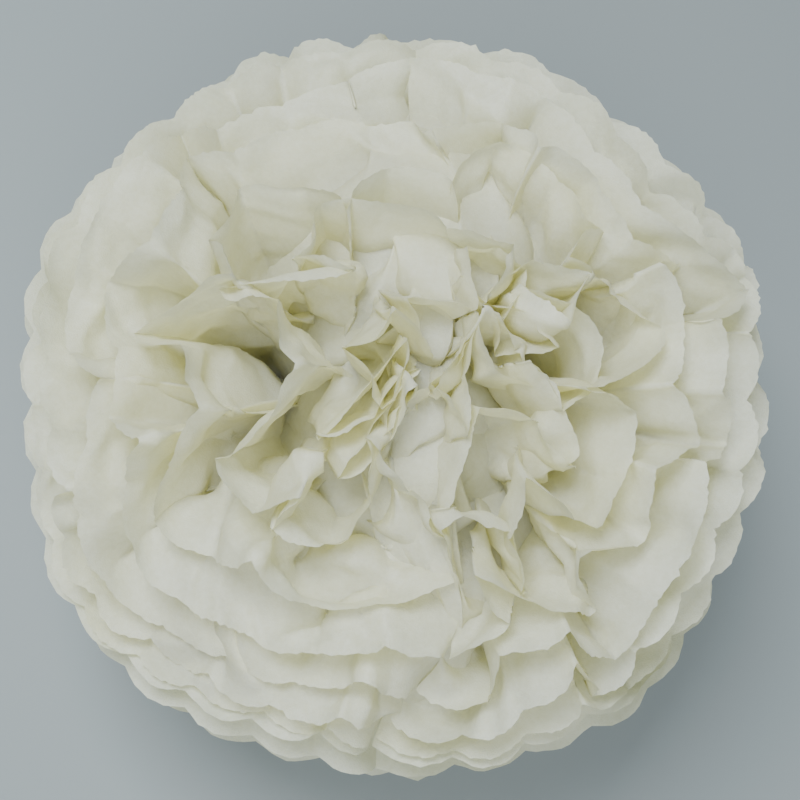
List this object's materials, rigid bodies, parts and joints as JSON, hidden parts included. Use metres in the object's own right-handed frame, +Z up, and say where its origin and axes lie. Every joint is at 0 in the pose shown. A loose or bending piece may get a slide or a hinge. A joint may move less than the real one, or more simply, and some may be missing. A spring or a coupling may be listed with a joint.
{
  "type": "tissue paper pom pom",
  "caption": "Round ball of fluffed-out white tissue paper petals: accordion-folded sheets tied at the middle with wire and fanned open, lying on a table.",
  "frame": {"origin": "on the table, under the middle of the ball", "axes": "+Z up out of the flower; X along the folds where they pass through the tie, Y across them"},
  "size_m": [0.3488, 0.3476, 0.272],
  "materials": {
    "tissue_paper": "thin translucent ivory-white tissue, softly crinkled",
    "tie_wire": "plain bright florist's wire"
  },
  "bodies": {
    "root": {"sheet_01": "tissue_paper", "sheet_02": "tissue_paper", "sheet_03": "tissue_paper", "sheet_04": "tissue_paper", "sheet_05": "tissue_paper", "sheet_06": "tissue_paper", "sheet_07": "tissue_paper", "sheet_08": "tissue_paper", "sheet_09": "tissue_paper", "sheet_10": "tissue_paper", "sheet_11": "tissue_paper", "sheet_12": "tissue_paper", "sheet_13": "tissue_paper", "sheet_14": "tissue_paper", "sheet_15": "tissue_paper", "sheet_16": "tissue_paper", "wire_tie": "tie_wire"}
  },
  "joints": []
}
